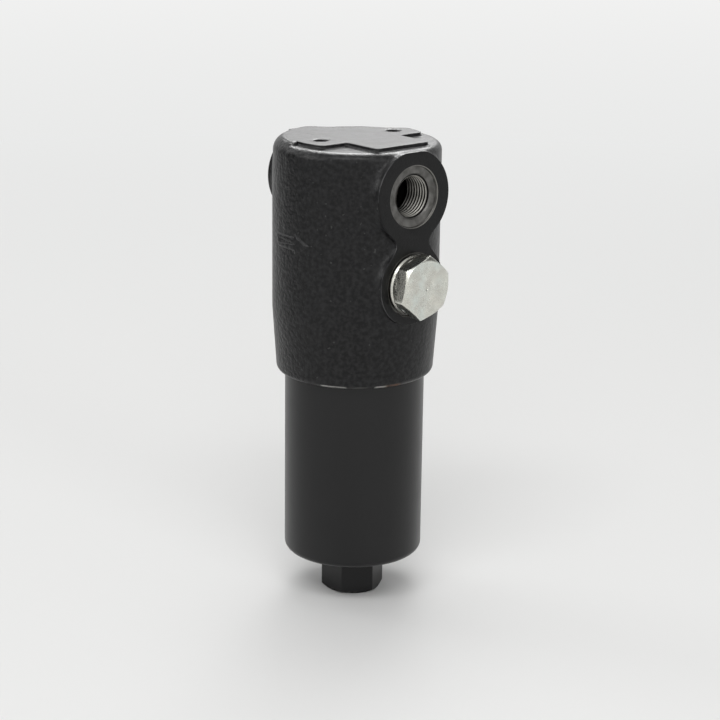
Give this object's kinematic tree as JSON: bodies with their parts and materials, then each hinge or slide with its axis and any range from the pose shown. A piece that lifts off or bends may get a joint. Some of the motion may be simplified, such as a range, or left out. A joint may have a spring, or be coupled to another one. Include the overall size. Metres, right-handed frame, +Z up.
{
  "type": "hydraulic filter assembly",
  "caption": "In-line high-pressure hydraulic filter: cast head with opposite threaded ports and an indicator plug, over a screwed-in steel bowl with a hexagon foot.",
  "frame": {"origin": "centre of the flat end of the bowl's hexagon foot, on the axis of the bowl", "axes": "+Z up along the axis of bowl and head, +X along the port axis towards the outlet, whose boss also carries the indicator plug"},
  "size_m": [0.092, 0.0804, 0.2285],
  "materials": {
    "cast_head": "black paint over a sand-cast skin, satin",
    "bowl_black": "smooth black, satin",
    "zinc_plate": "zinc plated, turned face, faint yellow-green passivation",
    "turned_steel": "machined",
    "spring_steel": "drawn wire",
    "cap_plate": "tinned sheet",
    "black_rubber": "moulded",
    "amber_seal": "moulded, brown",
    "white_plastic": "moulded",
    "filter_media": "glass fibre fleece between wire meshes"
  },
  "bodies": {
    "head": {"head_casting": "cast_head", "outlet_spigot": "turned_steel", "spigot_seal": "black_rubber", "element_top_cap": "cap_plate", "element_o_ring": "black_rubber", "element_bottom_cap": "cap_plate", "element_core_tube": "turned_steel", "element_media": "filter_media", "element_seam_clip": "turned_steel", "element_sleeve": "white_plastic", "bypass_housing": "turned_steel", "bypass_spring": "spring_steel", "bypass_spring_plate": "turned_steel", "bypass_circlip": "spring_steel"},
    "bowl_seals": {"bowl_o_ring": "black_rubber", "bowl_backup_ring": "white_plastic"},
    "bowl": {"bowl": "bowl_black"},
    "plug_seals": {"plug_seal_ring": "amber_seal", "plug_nose_o_ring": "black_rubber"},
    "plug": {"indicator_plug": "zinc_plate"},
    "poppet": {"bypass_poppet": "turned_steel"}
  },
  "joints": [
    {"name": "bowl_drop", "type": "slide", "parent": "head", "child": "bowl_seals", "axis": [0, 0, -1], "range_m": [0, 0.022]},
    {"name": "bowl_turn", "type": "hinge", "parent": "bowl_seals", "child": "bowl", "pos_m": [0, 0, 0.13], "axis": [0, 0, -1], "range_deg": [0, 3960]},
    {"name": "plug_out", "type": "slide", "parent": "head", "child": "plug_seals", "axis": [1, 0, 0], "range_m": [0, 0.0109]},
    {"name": "plug_turn", "type": "hinge", "parent": "plug_seals", "child": "plug", "pos_m": [0.04, 0, 0.1636], "axis": [1, 0, 0], "range_deg": [0, 2160]},
    {"name": "bypass_lift", "type": "slide", "parent": "head", "child": "poppet", "axis": [0, 0, 1], "range_m": [0, 0.003], "stiffness_N_per_m": 7600, "springref_m": -0.005, "deforming": ["bypass_spring"]}
  ],
  "couplings": [
    {"joint": "bowl_drop", "follows": "bowl_turn", "m_per_rad": 0.0003183},
    {"joint": "plug_out", "follows": "plug_turn", "m_per_rad": 0.0002887}
  ]
}
